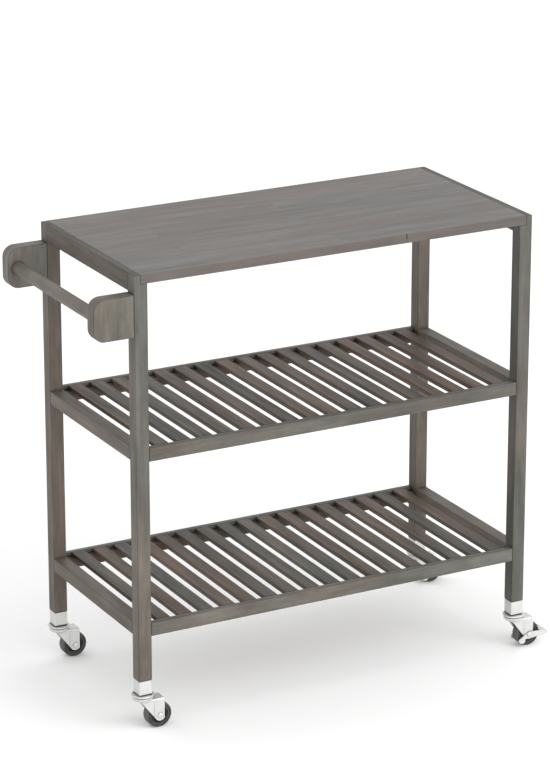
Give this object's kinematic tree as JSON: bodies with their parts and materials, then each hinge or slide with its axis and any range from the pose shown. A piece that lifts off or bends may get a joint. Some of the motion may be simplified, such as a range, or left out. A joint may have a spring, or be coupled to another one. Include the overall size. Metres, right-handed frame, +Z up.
{
  "type": "kitchen island cart",
  "caption": "Kitchen island cart: solid wood top, open frame of square legs, slatted middle and lower shelves, towel-bar handle at one end, swivel casters with brake pedals.",
  "frame": {"origin": "on the floor, under the middle of the whole cart's box, handle and pedals included", "axes": "+X along the top, from the handle end to the plain end; +Y from front to rear; +Z up"},
  "size_m": [1.006, 0.4288, 0.9144],
  "materials": {
    "tabletop_wood": "grey-washed staves, satin lacquer",
    "frame_wood": "grey-brown weathered stain, straight grain",
    "slat_wood": "grey-brown weathered stain, slats vary in tone",
    "handle_wood": "grey-brown weathered stain",
    "plated_steel": "bright zinc plate",
    "fastener_steel": "dull zinc plate",
    "ring_nylon": "natural nylon",
    "hub_plastic": "moulded, fine grain",
    "tyre_rubber": "dark grey rubber, dusty tread"
  },
  "bodies": {
    "cart_frame": {"tabletop": "tabletop_wood", "top_rail_left": "frame_wood", "top_rail_right": "frame_wood", "leg_front_left": "frame_wood", "leg_rear_left": "frame_wood", "leg_front_right": "frame_wood", "leg_rear_right": "frame_wood", "middle_rail_front": "frame_wood", "middle_rail_rear": "frame_wood", "middle_rail_left": "frame_wood", "middle_rail_right": "frame_wood", "middle_slat_deck": "slat_wood", "lower_rail_front": "frame_wood", "lower_rail_rear": "frame_wood", "lower_rail_left": "frame_wood", "lower_rail_right": "frame_wood", "lower_slat_deck": "slat_wood", "handle_bracket_front": "handle_wood", "handle_bracket_rear": "handle_wood", "handle_bar": "handle_wood", "handle_bolt_front_lower": "fastener_steel", "handle_bolt_front_upper": "fastener_steel", "handle_bolt_rear_lower": "fastener_steel", "handle_bolt_rear_upper": "fastener_steel", "top_screw_front_left": "fastener_steel", "top_screw_rear_left": "fastener_steel", "top_screw_front_right": "fastener_steel", "top_screw_rear_right": "fastener_steel", "caster_ferrule_front_left": "plated_steel", "caster_stem_front_left": "plated_steel", "caster_ferrule_rear_left": "plated_steel", "caster_stem_rear_left": "plated_steel", "caster_ferrule_front_right": "plated_steel", "caster_stem_front_right": "plated_steel", "caster_ferrule_rear_right": "plated_steel", "caster_stem_rear_right": "plated_steel"},
    "caster_front_left": {"caster_fork_front_left": "plated_steel", "caster_thrust_ring_front_left": "ring_nylon", "wheel_axle_front_left": "plated_steel"},
    "wheel_front_left": {"wheel_hub_front_left": "hub_plastic", "wheel_tyre_front_left": "tyre_rubber"},
    "caster_rear_left": {"caster_fork_rear_left": "plated_steel", "caster_thrust_ring_rear_left": "ring_nylon", "wheel_axle_rear_left": "plated_steel"},
    "wheel_rear_left": {"wheel_hub_rear_left": "hub_plastic", "wheel_tyre_rear_left": "tyre_rubber"},
    "caster_front_right": {"caster_fork_front_right": "plated_steel", "caster_thrust_ring_front_right": "ring_nylon", "wheel_axle_front_right": "plated_steel"},
    "wheel_front_right": {"wheel_hub_front_right": "hub_plastic", "wheel_tyre_front_right": "tyre_rubber"},
    "pedal_front_right": {"brake_pedal_front_right": "plated_steel"},
    "caster_rear_right": {"caster_fork_rear_right": "plated_steel", "caster_thrust_ring_rear_right": "ring_nylon", "wheel_axle_rear_right": "plated_steel"},
    "wheel_rear_right": {"wheel_hub_rear_right": "hub_plastic", "wheel_tyre_rear_right": "tyre_rubber"},
    "pedal_rear_right": {"brake_pedal_rear_right": "plated_steel"}
  },
  "joints": [
    {"name": "swivel_front_left", "type": "hinge", "parent": "cart_frame", "child": "caster_front_left", "pos_m": [-0.40603, -0.19255, 0.0624], "axis": [0, 0, 1], "continuous": true},
    {"name": "wheel_spin_front_left", "type": "hinge", "parent": "caster_front_left", "child": "wheel_front_left", "pos_m": [-0.37552, -0.19255, 0.026], "axis": [0, 1, 0], "continuous": true},
    {"name": "swivel_rear_left", "type": "hinge", "parent": "cart_frame", "child": "caster_rear_left", "pos_m": [-0.40603, 0.19255, 0.0624], "axis": [0, 0, 1], "continuous": true},
    {"name": "wheel_spin_rear_left", "type": "hinge", "parent": "caster_rear_left", "child": "wheel_rear_left", "pos_m": [-0.37552, 0.19255, 0.026], "axis": [0, 1, 0], "continuous": true},
    {"name": "swivel_front_right", "type": "hinge", "parent": "cart_frame", "child": "caster_front_right", "pos_m": [0.43047, -0.19255, 0.0624], "axis": [0, 0, 1], "continuous": true},
    {"name": "wheel_spin_front_right", "type": "hinge", "parent": "caster_front_right", "child": "wheel_front_right", "pos_m": [0.46098, -0.19255, 0.026], "axis": [0, 1, 0], "continuous": true},
    {"name": "brake_front_right", "type": "hinge", "parent": "caster_front_right", "child": "pedal_front_right", "pos_m": [0.46098, -0.19255, 0.026], "axis": [0, 1, 0], "range_deg": [0, 12]},
    {"name": "swivel_rear_right", "type": "hinge", "parent": "cart_frame", "child": "caster_rear_right", "pos_m": [0.43047, 0.19255, 0.0624], "axis": [0, 0, 1], "continuous": true},
    {"name": "wheel_spin_rear_right", "type": "hinge", "parent": "caster_rear_right", "child": "wheel_rear_right", "pos_m": [0.46098, 0.19255, 0.026], "axis": [0, 1, 0], "continuous": true},
    {"name": "brake_rear_right", "type": "hinge", "parent": "caster_rear_right", "child": "pedal_rear_right", "pos_m": [0.46098, 0.19255, 0.026], "axis": [0, 1, 0], "range_deg": [0, 12]}
  ]
}
